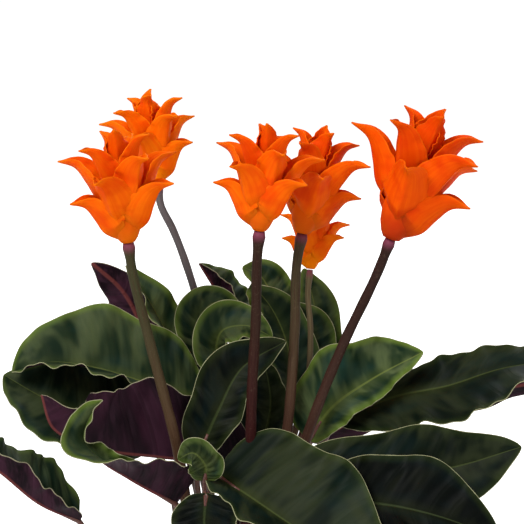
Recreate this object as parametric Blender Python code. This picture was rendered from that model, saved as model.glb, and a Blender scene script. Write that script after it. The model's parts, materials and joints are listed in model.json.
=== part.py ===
"""A potted calathea with orange flower heads: a plain pot, its soil, leaves on stalks and flower heads on stems.

Metres, +Z up. The origin is the centre of the pot's underside, and the plant is seen from -Y.
"""

import math
from dataclasses import dataclass

import bmesh
import bpy
import numpy as np

# The pot: a tapered plastic pot with a banded rim and a ring of drain holes.
POT_HEIGHT = 0.105
POT_TOP_RADIUS = 0.060
POT_BASE_RADIUS = 0.043
POT_WALL = 0.0018
POT_BASE_THICKNESS = 0.0025
RIM_BAND = 0.012
RIM_STEP = 0.0022
DRAIN_HOLES = 6
DRAIN_HOLE_RADIUS = 0.004
DRAIN_RING_RADIUS = 0.030
POT_STEPS = 32

# The soil fills the pot to below its rim, and each stalk stands in a plain hole in it.
SOIL_BELOW_RIM = 0.012
SOIL_TOP = POT_HEIGHT - SOIL_BELOW_RIM
SOIL_CROWN = 0.003
SOIL_STEPS = 24
STALK_BURIED = 0.016
STALK_CLEAR = 0.006
FIT_GAP = 0.0005

# Leaves and bracts.
LEAF_THICKNESS = 0.0008
BRACT_THICKNESS = 0.0010
LEAF_STALK_RADIUS = 0.0019
KEEL_REACH = 0.16
LEAF_TIP_POWER = 0.75
BRACT_TIP_POWER = 1.2
FLOWER_STEM_RADIUS = 0.0027
HEAD_GAP = 0.0005
GOLDEN_ANGLE = 137.5
HEAD_SHARE = 0.31

LEAF_GREEN = (0.035, 0.085, 0.030)
LEAF_PURPLE = (0.085, 0.022, 0.050)
STALK_OLIVE = (0.16, 0.07, 0.035)
STEM_BROWN = (0.13, 0.045, 0.035)
BRACT_ORANGE = (0.95, 0.16, 0.004)
SOIL_BROWN = (0.035, 0.022, 0.014)
POT_TERRACOTTA = (0.38, 0.13, 0.06)


@dataclass
class Leaf:
    """One leaf: where its stalk is rooted, the run of its midrib, and how its blade is turned, folded and waved.

    Places are (x, y, z) in metres and the root is (x, y) on the soil. The face is the way the green side looks.
    Each pair holds the left half's value and the right half's, seen from the green side with the tip ahead.
    """

    name: str
    root: tuple
    midrib: tuple
    face: tuple
    half_width: tuple
    fold: tuple
    curl: tuple = (0, 0)
    face_at_tip: tuple = None
    ripple: float = 0.002
    waves: float = 4
    phase: tuple = (0, 120)
    widest: float = 0.85
    rows: int = 8
    half_columns: int = 2


@dataclass
class Bloom:
    """One flower head on its stem: the root on the soil, places the stem passes, and the head's axis, size and turn."""

    name: str
    root: tuple
    stem: tuple
    axis: tuple
    size: float
    turn: float
    bracts: int = 12
    stem_radius: float = FLOWER_STEM_RADIUS


LEAVES = [
    Leaf("leaf_01", (-0.022, -0.005),
         ((-0.015, -0.004, 0.202), (-0.051, -0.008, 0.217), (-0.075, -0.010, 0.225), (-0.100, -0.010, 0.228),
          (-0.121, -0.008, 0.222)),
         (0.0, -0.85, 0.50), (0.022, 0.034), fold=(72, 10), waves=5, widest=1.0, rows=12, half_columns=3),
    Leaf("leaf_02", (0.005, -0.015),
         ((0.010, -0.021, 0.174), (-0.040, -0.029, 0.180), (-0.076, -0.032, 0.187), (-0.096, -0.036, 0.199),
          (-0.102, -0.032, 0.216)),
         (0.0, 0.30, 0.95), (0.042, 0.030), fold=(64, 60), waves=5, rows=12, half_columns=3),
    Leaf("leaf_03", (-0.014, -0.036),
         ((-0.029, -0.048, 0.160), (-0.053, -0.058, 0.178), (-0.069, -0.062, 0.191), (-0.076, -0.062, 0.201),
          (-0.073, -0.060, 0.212), (-0.066, -0.058, 0.221)),
         (0.45, 0.35, 0.80), (0.026, 0.009), fold=(55, 60), face_at_tip=(-0.30, -0.80, 0.50), widest=0.55),
    Leaf("leaf_04", (-0.031, -0.020),
         ((-0.083, -0.034, 0.145), (-0.102, -0.046, 0.159), (-0.122, -0.054, 0.180), (-0.145, -0.058, 0.199)),
         (0.0, -0.30, 1.0), (0.012, 0.030), fold=(50, 45), face_at_tip=(0.0, 0.60, 0.80)),
    Leaf("leaf_05", (-0.030, 0.002),
         ((-0.046, 0.006, 0.180), (-0.078, -0.002, 0.194), (-0.104, -0.005, 0.206), (-0.127, 0.000, 0.218)),
         (0.0, -0.50, 0.85), (0.032, 0.032), fold=(10, 20)),
    Leaf("leaf_06", (-0.016, 0.018),
         ((-0.037, 0.030, 0.204), (-0.051, 0.038, 0.234), (-0.064, 0.042, 0.257), (-0.081, 0.042, 0.273)),
         (-0.20, 0.90, 0.20), (0.014, 0.014), fold=(20, 20)),
    Leaf("leaf_07", (-0.013, 0.006),
         ((-0.015, 0.019, 0.197), (-0.034, 0.025, 0.229), (-0.046, 0.027, 0.252), (-0.060, 0.025, 0.275)),
         (0.40, -0.70, 0.40), (0.016, 0.015), fold=(50, 10)),
    Leaf("leaf_08", (-0.006, 0.002),
         ((-0.011, 0.009, 0.223), (-0.018, 0.010, 0.238), (-0.017, 0.008, 0.250), (-0.008, 0.004, 0.259),
          (0.005, 0.001, 0.257)),
         (0.0, -0.90, 0.40), (0.013, 0.011), fold=(15, 15)),
    Leaf("leaf_09", (0.000, -0.006),
         ((-0.002, -0.006, 0.223), (-0.008, -0.008, 0.236), (-0.004, -0.012, 0.247), (0.008, -0.014, 0.250),
          (0.023, -0.016, 0.244)),
         (0.0, -0.80, 0.60), (0.014, 0.010), fold=(20, 15)),
    Leaf("leaf_10", (-0.002, 0.022),
         ((0.005, 0.024, 0.235), (-0.008, 0.032, 0.257), (-0.019, 0.036, 0.274)),
         (0.55, 0.25, 0.45), (0.009, 0.024), fold=(50, 50), ripple=0.001),
    Leaf("leaf_11", (0.008, 0.025),
         ((0.029, 0.030, 0.233), (0.023, 0.036, 0.255), (0.015, 0.040, 0.267), (0.006, 0.040, 0.271)),
         (0.0, -0.80, 0.50), (0.014, 0.014), fold=(15, 15)),
    Leaf("leaf_12", (0.010, 0.006),
         ((0.033, 0.006, 0.199), (0.032, 0.008, 0.230), (0.023, 0.010, 0.253), (0.012, 0.008, 0.268)),
         (0.30, -0.85, 0.30), (0.018, 0.016), fold=(30, 15)),
    Leaf("leaf_13", (0.018, 0.016),
         ((0.044, 0.026, 0.196), (0.048, 0.030, 0.227), (0.047, 0.032, 0.251), (0.041, 0.032, 0.272)),
         (0.20, -0.90, 0.30), (0.015, 0.015), fold=(15, 15)),
    Leaf("leaf_14", (0.020, 0.008),
         ((0.039, 0.020, 0.198), (0.044, 0.020, 0.225), (0.043, 0.020, 0.242), (0.036, 0.020, 0.255)),
         (0.20, -0.90, 0.30), (0.014, 0.016), fold=(15, 15)),
    Leaf("leaf_15", (-0.009, -0.022),
         ((-0.017, -0.039, 0.184), (-0.006, -0.036, 0.209), (0.006, -0.030, 0.230), (0.030, -0.028, 0.245)),
         (-0.20, -0.90, 0.30), (0.017, 0.012), fold=(15, 5)),
    Leaf("leaf_16", (0.009, -0.003),
         ((0.017, -0.010, 0.179), (0.022, -0.009, 0.204), (0.018, -0.009, 0.231)),
         (0.0, -0.95, 0.20), (0.012, 0.009), fold=(15, 15)),
    Leaf("leaf_17", (0.034, -0.016),
         ((0.043, -0.018, 0.186), (0.055, -0.021, 0.205), (0.077, -0.025, 0.223), (0.104, -0.028, 0.239)),
         (-0.45, -0.88, 0.15), (0.026, 0.011), fold=(10, 0), waves=5, rows=12, half_columns=3),
    Leaf("leaf_18", (0.040, -0.003),
         ((0.058, -0.010, 0.195), (0.092, -0.017, 0.211), (0.118, -0.025, 0.219), (0.145, -0.031, 0.230),
          (0.190, -0.040, 0.239)),
         (0.0, -0.85, 0.50), (0.017, 0.031), fold=(10, 15), face_at_tip=(0.0, -0.20, 0.95), waves=5, widest=1.25,
         rows=12, half_columns=3),
    Leaf("leaf_19", (0.038, -0.026),
         ((0.036, -0.043, 0.181), (0.074, -0.053, 0.180), (0.113, -0.060, 0.184), (0.153, -0.063, 0.197)),
         (0.0, -0.90, 0.42), (0.0225, 0.022), fold=(8, 8), widest=1.1, rows=12, half_columns=3),
    Leaf("leaf_20", (0.017, -0.034),
         ((0.050, -0.064, 0.167), (0.076, -0.074, 0.170), (0.109, -0.086, 0.167), (0.139, -0.092, 0.157)),
         (0.0, -0.80, 0.55), (0.027, 0.016), fold=(15, 15), rows=12, half_columns=3),
    Leaf("leaf_21", (-0.003, -0.034),
         ((-0.009, -0.042, 0.175), (0.010, -0.058, 0.168), (0.032, -0.076, 0.159), (0.060, -0.094, 0.147),
          (0.085, -0.104, 0.132)),
         (-0.30, -0.75, 0.60), (0.043, 0.024), fold=(5, 62), widest=0.75, rows=12, half_columns=3),
    Leaf("leaf_22", (-0.005, -0.045),
         ((-0.012, -0.064, 0.172), (-0.013, -0.069, 0.156), (-0.007, -0.074, 0.131)),
         (-0.30, -0.90, 0.30), (0.022, 0.016), fold=(15, 15), widest=0.8),
    Leaf("leaf_23", (-0.018, -0.046),
         ((-0.013, -0.055, 0.176), (-0.013, -0.059, 0.186), (-0.019, -0.061, 0.193), (-0.027, -0.059, 0.189)),
         (0.0, -0.90, 0.40), (0.009, 0.009), fold=(15, 15), ripple=0.001),
    Leaf("leaf_24", (0.004, 0.014),
         ((0.015, 0.012, 0.169), (0.010, 0.016, 0.205), (0.004, 0.018, 0.243)),
         (0.0, -0.95, 0.20), (0.010, 0.014), fold=(15, 15)),
    Leaf("leaf_25", (-0.012, 0.027),
         ((-0.030, 0.045, 0.190), (-0.045, 0.070, 0.205), (-0.060, 0.095, 0.205), (-0.072, 0.118, 0.192)),
         (0.0, 0.0, 1.0), (0.028, 0.028), fold=(20, 20)),
    Leaf("leaf_26", (0.002, 0.031),
         ((0.012, 0.048, 0.180), (0.014, 0.075, 0.196), (0.018, 0.100, 0.196), (0.022, 0.125, 0.180)),
         (0.0, 0.0, 1.0), (0.030, 0.030), fold=(20, 20)),
    Leaf("leaf_27", (0.021, 0.025),
         ((0.046, 0.040, 0.166), (0.085, 0.037, 0.186), (0.120, 0.030, 0.197), (0.155, 0.022, 0.204),
          (0.186, 0.014, 0.212)),
         (0.0, 0.95, 0.25), (0.014, 0.014), fold=(10, 10), widest=1.0),
]

BLOOMS = [
    Bloom("bloom_1", (-0.020, -0.024), ((-0.028, -0.046, 0.190), (-0.042, -0.048, 0.251), (-0.052, -0.050, 0.304)),
          (-0.10, -0.05, 1.0), 1.07, 200),
    Bloom("bloom_2", (-0.004, 0.013),
          ((-0.011, 0.018, 0.222), (-0.021, 0.021, 0.262), (-0.033, 0.022, 0.297), (-0.041, 0.022, 0.323)),
          (-0.12, 0.0, 1.0), 0.93, 340, stem_radius=0.0022),
    Bloom("bloom_3", (0.005, -0.024), ((0.011, -0.038, 0.192), (0.012, -0.045, 0.225), (0.014, -0.047, 0.262), (0.016, -0.050, 0.310)),
          (0.09, 0.0, 1.0), 1.0, 182),
    Bloom("bloom_4", (0.013, -0.012), ((0.031, -0.024, 0.194), (0.035, -0.022, 0.250), (0.039, -0.016, 0.302)),
          (0.20, 0.05, 1.0), 1.05, 0),
    Bloom("bloom_5", (0.024, -0.008),
          ((0.034, -0.008, 0.180), (0.042, -0.008, 0.212), (0.044, -0.004, 0.245), (0.044, 0.008, 0.277)),
          (0.10, 0.15, 1.0), 0.68, 190, stem_radius=0.0016),
    Bloom("bloom_6", (0.023, -0.022), ((0.041, -0.030, 0.190), (0.059, -0.034, 0.241), (0.085, -0.036, 0.303)),
          (0.35, 0.0, 1.0), 1.3, 340),
]


def clear_scene():
    for thing in list(bpy.data.objects):
        bpy.data.objects.remove(thing, do_unlink=True)


def new_collection(name):
    collection = bpy.data.collections.new(name)
    bpy.context.scene.collection.children.link(collection)
    return collection


def make_material(name, colour, roughness):
    material = bpy.data.materials.new(name)
    material.use_nodes = True
    shader = material.node_tree.nodes["Principled BSDF"]
    shader.inputs["Base Color"].default_value = (*colour, 1.0)
    shader.inputs["Roughness"].default_value = roughness
    return material


def unit(vectors):
    return vectors / np.linalg.norm(vectors, axis=-1, keepdims=True)


def smooth_path(points, share):
    """Places on a smooth curve through the points, at each share (0 to 1) of the way along."""
    points = np.array(points, float)
    knots = np.concatenate([[0.0], np.cumsum(np.linalg.norm(np.diff(points, axis=0), axis=1))])
    slopes = np.gradient(points, knots, axis=0)
    reach = np.clip(np.asarray(share, float), 0, 1) * knots[-1]
    span = np.clip(np.searchsorted(knots, reach, side="right") - 1, 0, len(knots) - 2)
    width = knots[span + 1] - knots[span]
    along = ((reach - knots[span]) / width)[..., None]
    step = width[..., None]
    start, end = points[span], points[span + 1]
    leave, arrive = slopes[span] * step, slopes[span + 1] * step
    return (
        (2 * along**3 - 3 * along**2 + 1) * start
        + (along**3 - 2 * along**2 + along) * leave
        + (3 * along**2 - 2 * along**3) * end
        + (along**3 - along**2) * arrive
    )


def path_and_heading(points, share):
    """Places along the curve and the way it heads at each."""
    nudge = 0.002
    ahead = smooth_path(points, np.clip(share + nudge, 0, 1))
    behind = smooth_path(points, np.clip(share - nudge, 0, 1))
    return smooth_path(points, share), unit(ahead - behind)


def half_width_at(share, widest, tip_power, base=0.0014, tip=0.0006):
    """The outline of a blade as a share of its half width: a narrow foot, a round middle and a drawn-out tip."""
    round_part = np.sin(math.pi * np.clip(share, 0, 1) ** widest)
    power = 0.50 * (1 - share) + tip_power * share
    return np.clip(round_part, 0, 1) ** power, base * (1 - share) + tip * share


def blade_surface(midrib, face, face_at_tip, half_width, fold, curl, ripple, waves, phase, widest, tip_power,
                  rows, half_columns):
    """The blade's middle surface as a grid of places, from foot to tip and from left margin to right margin."""
    along = np.linspace(0, 1, rows + 1)[:, None]
    across = np.linspace(-1, 1, 2 * half_columns + 1)[None, :]
    out = np.abs(across)
    share = along**1.25 + (along**0.85 - along**1.25) * out**1.3
    place, heading = path_and_heading(midrib, share)
    facing = np.array(face, float) * (1 - share[..., None]) + np.array(face_at_tip or face, float) * share[..., None]
    facing = unit(facing - heading * np.sum(facing * heading, axis=-1, keepdims=True))
    leftward = np.cross(facing, heading)
    right = across > 0
    outline, least = half_width_at(share, widest, tip_power)
    reach = np.where(right, half_width[1], half_width[0]) * outline + least
    start = np.radians(np.where(right, fold[1], fold[0]))
    bend = np.radians(np.where(right, curl[1], curl[0])) + 1e-6
    sideways = (np.sin(start + bend * out) - np.sin(start)) / bend
    upward = (np.cos(start) - np.cos(start + bend * out)) / bend
    turned = np.radians(np.where(right, phase[1], phase[0]))
    fade = np.sin(math.pi * np.clip(share, 0, 1)) ** 0.5
    wave = ripple * out**1.5 * fade * np.sin(2 * math.pi * waves * share + turned)
    side_angle = start + bend * out
    side = np.sign(across)[..., None] * -leftward
    normal = facing * np.cos(side_angle)[..., None] - side * np.sin(side_angle)[..., None]
    return (
        place
        + side * (reach * sideways)[..., None]
        + facing * (reach * upward)[..., None]
        + normal * wave[..., None]
    )


def surface_normals(grid):
    lengthwise = np.gradient(grid, axis=0)
    crosswise = np.gradient(grid, axis=1)
    return unit(np.cross(crosswise, lengthwise))


def sheet_object(name, grid, thickness, materials, collection):
    """A closed sheet about the grid, split into triangles alike on both faces: upper, lower, then the rim."""
    rows, columns = grid.shape[:2]
    normals = surface_normals(grid)
    upper = (grid + normals * thickness / 2).reshape(-1, 3)
    lower = (grid - normals * thickness / 2).reshape(-1, 3)
    count = rows * columns
    faces, kinds = [], []
    for row in range(rows - 1):
        for column in range(columns - 1):
            a = row * columns + column
            b, c, d = a + 1, a + columns + 1, a + columns
            pairs = ((a, b, c), (a, c, d)) if column >= columns // 2 else ((a, b, d), (b, c, d))
            for triangle in pairs:
                faces.append(triangle)
                kinds.append(0)
                faces.append(tuple(count + corner for corner in reversed(triangle)))
                kinds.append(1)
    border = list(range(columns))
    border += [row * columns + columns - 1 for row in range(1, rows)]
    border += [(rows - 1) * columns + column for column in range(columns - 2, -1, -1)]
    border += [row * columns for row in range(rows - 2, 0, -1)]
    for here, there in zip(border, border[1:] + border[:1]):
        faces.append((there, here, count + here))
        faces.append((there, count + here, count + there))
        kinds += [0, 0]
    return mesh_object(name, np.concatenate([upper, lower]), faces, kinds, materials, collection)


def mesh_object(name, places, faces, kinds, materials, collection):
    mesh = bpy.data.meshes.new(name)
    mesh.from_pydata([tuple(place) for place in places], [], faces)
    for material in materials:
        mesh.materials.append(material)
    mesh.polygons.foreach_set("material_index", kinds)
    mesh.update()
    thing = bpy.data.objects.new(name, mesh)
    collection.objects.link(thing)
    return thing


def tube_object(name, places, radii, sides, kind, materials, collection):
    """A round tube through the places, tapering by the radii, with closed ends."""
    curve = bpy.data.curves.new(name, "CURVE")
    curve.dimensions = "3D"
    curve.bevel_depth = 1.0
    curve.bevel_resolution = (sides - 4) // 2
    curve.use_fill_caps = True
    spline = curve.splines.new("POLY")
    spline.points.add(len(places) - 1)
    for point, place, radius in zip(spline.points, places, radii):
        point.co = (*place, 1.0)
        point.radius = radius
    guide = bpy.data.objects.new(name + "_guide", curve)
    collection.objects.link(guide)
    bpy.context.view_layer.update()
    evaluated = guide.evaluated_get(bpy.context.evaluated_depsgraph_get())
    mesh = bpy.data.meshes.new_from_object(evaluated)
    mesh.transform(guide.matrix_world)
    bpy.data.objects.remove(guide, do_unlink=True)
    shape = bmesh.new()
    shape.from_mesh(mesh)
    bmesh.ops.remove_doubles(shape, verts=shape.verts, dist=1e-6)
    bmesh.ops.recalc_face_normals(shape, faces=shape.faces)
    bmesh.ops.triangulate(shape, faces=shape.faces)
    shape.to_mesh(mesh)
    shape.free()
    mesh.materials.clear()
    for material in materials:
        mesh.materials.append(material)
    mesh.polygons.foreach_set("material_index", [kind] * len(mesh.polygons))
    thing = bpy.data.objects.new(name, mesh)
    collection.objects.link(thing)
    return thing


def turned_object(name, outline, steps, material, collection):
    """A solid turned about the z axis from (radius, height) places, where radius 0 closes an end."""
    places, rings = [], []
    for radius, height in outline:
        if radius == 0:
            rings.append([len(places)])
            places.append((0.0, 0.0, height))
            continue
        rings.append(list(range(len(places), len(places) + steps)))
        for step in range(steps):
            angle = 2 * math.pi * step / steps
            places.append((radius * math.cos(angle), radius * math.sin(angle), height))
    faces = []
    for above, below in zip(rings, rings[1:]):
        for step in range(steps):
            after = (step + 1) % steps
            if len(above) == 1:
                faces.append((above[0], below[step], below[after]))
            elif len(below) == 1:
                faces.append((above[step], below[0], above[after]))
            else:
                faces.append((above[step], below[step], below[after], above[after]))
    return mesh_object(name, places, faces, [0] * len(faces), [material], collection)


def combine(thing, others, operation):
    """Applies a Boolean with each other object in turn, then removes them."""
    for other in others:
        modifier = thing.modifiers.new("combine", "BOOLEAN")
        modifier.operation = operation
        modifier.solver = "MANIFOLD"
        modifier.object = other
        bpy.context.view_layer.update()
        evaluated = thing.evaluated_get(bpy.context.evaluated_depsgraph_get())
        made = bpy.data.meshes.new_from_object(evaluated)
        thing.modifiers.clear()
        thing.data = made
        bpy.data.objects.remove(other, do_unlink=True)
    return thing


def lighten(thing, share):
    """Collapses the short edges that a union leaves, down to the given share of the triangles."""
    modifier = thing.modifiers.new("lighten", "DECIMATE")
    modifier.ratio = share
    bpy.context.view_layer.update()
    evaluated = thing.evaluated_get(bpy.context.evaluated_depsgraph_get())
    made = bpy.data.meshes.new_from_object(evaluated)
    thing.modifiers.clear()
    thing.data = made
    return thing


def stalk_path(root, reach_up, foot, heading, steps):
    """Places from below the soil, straight up out of it, then over to the foot, arriving along its heading."""
    x, y = root
    out_of_soil = np.array([x, y, SOIL_TOP + STALK_CLEAR])
    foot = np.array(foot, float)
    span = np.linalg.norm(foot - out_of_soil)
    lift = out_of_soil + np.array([0, 0, span * reach_up])
    arriving = unit(np.array(heading) + np.array([0, 0, 1.2]))
    approach = foot - arriving * span * 0.3
    t = np.linspace(0, 1, steps + 1)[:, None]
    bend = (
        (1 - t) ** 3 * out_of_soil
        + 3 * (1 - t) ** 2 * t * lift
        + 3 * (1 - t) * t**2 * approach
        + t**3 * foot
    )
    return np.concatenate([[[x, y, SOIL_TOP - STALK_BURIED]], bend])


def build_leaf(leaf, materials, collection):
    """The blade with its stalk running on under it as a keel, joined as one body."""
    grid = blade_surface(
        leaf.midrib, leaf.face, leaf.face_at_tip, leaf.half_width, leaf.fold, leaf.curl,
        leaf.ripple, leaf.waves, leaf.phase, leaf.widest, LEAF_TIP_POWER, leaf.rows, leaf.half_columns,
    )
    blade = sheet_object(leaf.name, grid, LEAF_THICKNESS, materials, collection)
    shares = np.array([0.0, KEEL_REACH / 2, KEEL_REACH])
    keel, heading = path_and_heading(leaf.midrib, shares)
    path = stalk_path(leaf.root, 0.4, keel[0], heading[0], 6)
    path = np.concatenate([path, keel[1:]])
    radii = np.linspace(1.0, 0.8, len(path)) * LEAF_STALK_RADIUS
    radii[-2:] = (0.0013, 0.0008)
    stalk = tube_object(leaf.name + "_stalk", path, radii, 6, 2, materials, collection)
    return combine(blade, [stalk], "UNION")


def head_frame(bloom):
    """The head's foot and its three axes: across, away and up its stem."""
    up = unit(np.array(bloom.axis, float))
    across = unit(np.cross(np.array([0.0, 1.0, 0.0]), up))
    return np.array(bloom.stem[-1], float), np.stack([across, np.cross(up, across), up])


def bract_shape(bloom, number):
    """A bract's midrib and its inner face in the head's frame, for the head's given bract, counted from the foot."""
    climb = number / (bloom.bracts - 1)
    angle = math.radians(bloom.turn + GOLDEN_ANGLE * number)
    foot = 0.002 + 0.032 * climb
    tip = 0.023 + 0.033 * climb**0.75
    spread = 0.005 + 0.021 * (1 - climb) + 0.014 * math.sin(math.pi * climb)
    reach = spread * np.array([0.14, 0.42, 0.56, 0.73, 1.0])
    rise = foot + (tip - foot) * np.array([0.0, 0.23, 0.55, 0.87, 1.0])
    outward = np.array([math.cos(angle), math.sin(angle), 0.0])
    upward = np.array([0.0, 0.0, 1.0])
    midrib = reach[:, None] * outward + rise[:, None] * upward
    return midrib, -0.6 * outward + 0.8 * upward, 0.0145 * (1 - 0.40 * climb)


def build_head(bloom, materials, collection):
    """A flower head: cupped bracts that climb round a core and flare at their tips."""
    foot, axes = head_frame(bloom)
    outline = [(0, 0.040), (0.004, 0.036), (0.0065, 0.024), (0.008, 0.012), (0.0065, 0.004), (0.0035, 0.0), (0, 0.0)]
    core = turned_object(bloom.name, outline, 8, materials[0], collection)
    for vertex in core.data.vertices:
        vertex.co = foot + (np.array(vertex.co) * bloom.size) @ axes
    pieces = []
    for number in range(bloom.bracts):
        midrib, inner, half_width = bract_shape(bloom, number)
        midrib = foot + (midrib * bloom.size) @ axes
        grid = blade_surface(
            midrib, inner @ axes, None, (half_width * bloom.size,) * 2, (25, 25), (45, 45),
            0.0006, 3, (number * 70, number * 110), 0.75, BRACT_TIP_POWER, 5, 1,
        )
        pieces.append(sheet_object(f"{bloom.name}_bract", grid, BRACT_THICKNESS, materials, collection))
    return lighten(combine(core, pieces, "UNION"), HEAD_SHARE)


def build_stem(bloom, materials, collection):
    """The stem of a flower head, from below the soil to just under the head."""
    top = np.array(bloom.stem[-1], float)
    up = unit(np.array(bloom.axis, float))
    places = [(*bloom.root, SOIL_TOP - STALK_BURIED), (*bloom.root, SOIL_TOP + STALK_CLEAR)]
    path = smooth_path([places[1], *bloom.stem[:-1], top - up * 0.012, top - up * HEAD_GAP], np.linspace(0, 1, 9))
    path = np.concatenate([[places[0]], path])
    radii = np.linspace(1.15, 0.95, len(path)) * bloom.stem_radius
    return tube_object(bloom.name + "_stem", path, radii, 8, 0, materials, collection)


def build_pot(material, collection):
    """The pot: one turned wall with a banded rim and a flat base pierced by drain holes."""
    slope = (POT_TOP_RADIUS - RIM_STEP - POT_BASE_RADIUS) / POT_HEIGHT
    band_foot = POT_HEIGHT - RIM_BAND

    def outer(height):
        return POT_BASE_RADIUS + slope * height

    outline = [
        (0, 0), (POT_BASE_RADIUS, 0), (outer(band_foot), band_foot), (outer(band_foot) + RIM_STEP, band_foot),
        (POT_TOP_RADIUS, POT_HEIGHT), (POT_TOP_RADIUS - RIM_STEP - POT_WALL, POT_HEIGHT),
        (outer(POT_BASE_THICKNESS) - POT_WALL, POT_BASE_THICKNESS), (0, POT_BASE_THICKNESS),
    ]
    pot = turned_object("pot", outline[::-1], POT_STEPS, material, collection)
    drills = []
    for hole in range(DRAIN_HOLES):
        angle = 2 * math.pi * hole / DRAIN_HOLES
        drill = turned_object("drill", drill_outline(DRAIN_HOLE_RADIUS, -0.001, POT_BASE_THICKNESS + 0.001), 10,
                              material, collection)
        place = (DRAIN_RING_RADIUS * math.cos(angle), DRAIN_RING_RADIUS * math.sin(angle), 0.0)
        for vertex in drill.data.vertices:
            vertex.co = np.array(vertex.co) + np.array(place)
        drills.append(drill)
    return combine(pot, drills, "DIFFERENCE")


def drill_outline(radius, low, high):
    return [(0, high), (radius, high), (radius, low), (0, low)]


def build_soil(roots, material, collection):
    """The soil: a plug that clears the pot's inside, gently crowned, with a hole for each stalk."""
    slope = (POT_TOP_RADIUS - RIM_STEP - POT_BASE_RADIUS) / POT_HEIGHT
    low = POT_BASE_THICKNESS + FIT_GAP

    def inner(height):
        return POT_BASE_RADIUS + slope * height - POT_WALL - FIT_GAP

    outline = [(0, SOIL_TOP + SOIL_CROWN), (0.030, SOIL_TOP + SOIL_CROWN * 0.8), (0.048, SOIL_TOP + SOIL_CROWN * 0.2),
               (inner(SOIL_TOP), SOIL_TOP), (inner(low), low), (0, low)]
    soil = turned_object("soil", outline, SOIL_STEPS, material, collection)
    drills = []
    for (x, y), radius in roots:
        drill = turned_object("drill", drill_outline(radius + FIT_GAP, SOIL_TOP - STALK_BURIED - FIT_GAP, 0.12), 8,
                              material, collection)
        for vertex in drill.data.vertices:
            vertex.co = np.array(vertex.co) + np.array((x, y, 0.0))
        drills.append(drill)
    return combine(soil, drills, "DIFFERENCE")


def main():
    clear_scene()
    plant = new_collection("calathea")
    leaf_materials = [
        make_material("leaf_green", LEAF_GREEN, 0.4),
        make_material("leaf_purple", LEAF_PURPLE, 0.55),
        make_material("leaf_stalk", STALK_OLIVE, 0.5),
    ]
    bract_materials = [make_material("bract_orange", BRACT_ORANGE, 0.5)]
    stem_materials = [make_material("flower_stem", STEM_BROWN, 0.5)]
    roots = []
    for leaf in LEAVES:
        build_leaf(leaf, leaf_materials, plant)
        roots.append((leaf.root, LEAF_STALK_RADIUS))
    for bloom in BLOOMS:
        build_head(bloom, bract_materials * 2, plant)
        build_stem(bloom, stem_materials, plant)
        roots.append((bloom.root, 1.15 * bloom.stem_radius))
    build_soil(roots, make_material("soil", SOIL_BROWN, 0.9), plant)
    build_pot(make_material("pot_plastic", POT_TERRACOTTA, 0.55), plant)


if __name__ == "__main__":
    main()
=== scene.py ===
"""Looks for a potted calathea: veined leaves, orange heads of cupped bracts, streaked stems, soil and pot.

Metres, +Z up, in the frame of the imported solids. Each piece is a finer form of the solid it stands for.
"""

import json
import math
import random
from dataclasses import dataclass
from types import SimpleNamespace

import bpy
import numpy as np
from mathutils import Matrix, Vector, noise

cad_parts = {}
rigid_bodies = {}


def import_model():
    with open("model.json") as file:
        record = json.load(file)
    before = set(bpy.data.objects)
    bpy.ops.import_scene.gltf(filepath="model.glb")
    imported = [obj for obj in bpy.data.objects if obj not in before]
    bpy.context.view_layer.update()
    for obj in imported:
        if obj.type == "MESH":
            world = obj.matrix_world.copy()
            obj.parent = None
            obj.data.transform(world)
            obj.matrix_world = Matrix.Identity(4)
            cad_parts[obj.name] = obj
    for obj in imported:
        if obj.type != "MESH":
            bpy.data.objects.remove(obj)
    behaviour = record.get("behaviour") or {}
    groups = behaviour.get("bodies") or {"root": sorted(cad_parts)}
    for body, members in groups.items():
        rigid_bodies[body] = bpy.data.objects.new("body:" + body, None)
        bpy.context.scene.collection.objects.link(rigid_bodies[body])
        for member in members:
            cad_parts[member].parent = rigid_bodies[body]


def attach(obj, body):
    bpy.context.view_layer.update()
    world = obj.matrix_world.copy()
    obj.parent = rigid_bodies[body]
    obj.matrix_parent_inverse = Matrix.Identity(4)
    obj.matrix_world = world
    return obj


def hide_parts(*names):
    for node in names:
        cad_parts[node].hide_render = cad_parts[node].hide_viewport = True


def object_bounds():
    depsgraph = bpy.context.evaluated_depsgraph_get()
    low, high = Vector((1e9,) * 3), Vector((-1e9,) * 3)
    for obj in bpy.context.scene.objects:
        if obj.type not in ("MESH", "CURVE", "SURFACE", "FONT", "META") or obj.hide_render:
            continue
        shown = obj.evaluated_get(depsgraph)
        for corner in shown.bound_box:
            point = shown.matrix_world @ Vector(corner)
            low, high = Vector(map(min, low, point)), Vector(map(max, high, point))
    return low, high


# The pot and its soil.
POT_HEIGHT = 0.105
POT_TOP_RADIUS = 0.060
POT_BASE_RADIUS = 0.043
POT_WALL = 0.0018
POT_BASE_THICKNESS = 0.0025
RIM_BAND = 0.012
RIM_STEP = 0.0022
DRAIN_HOLES = 6
DRAIN_HOLE_RADIUS = 0.004
DRAIN_RING_RADIUS = 0.030
POT_STEPS = 128
SOIL_BELOW_RIM = 0.012
SOIL_TOP = POT_HEIGHT - SOIL_BELOW_RIM
SOIL_CROWN = 0.003
SOIL_RINGS = 40
SOIL_STEPS = 120
CRUMBS = 420
CRUMB_RINGS = 6
CRUMB_SIDES = 8
STALK_BURIED = 0.016
STALK_CLEAR = 0.006

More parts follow.
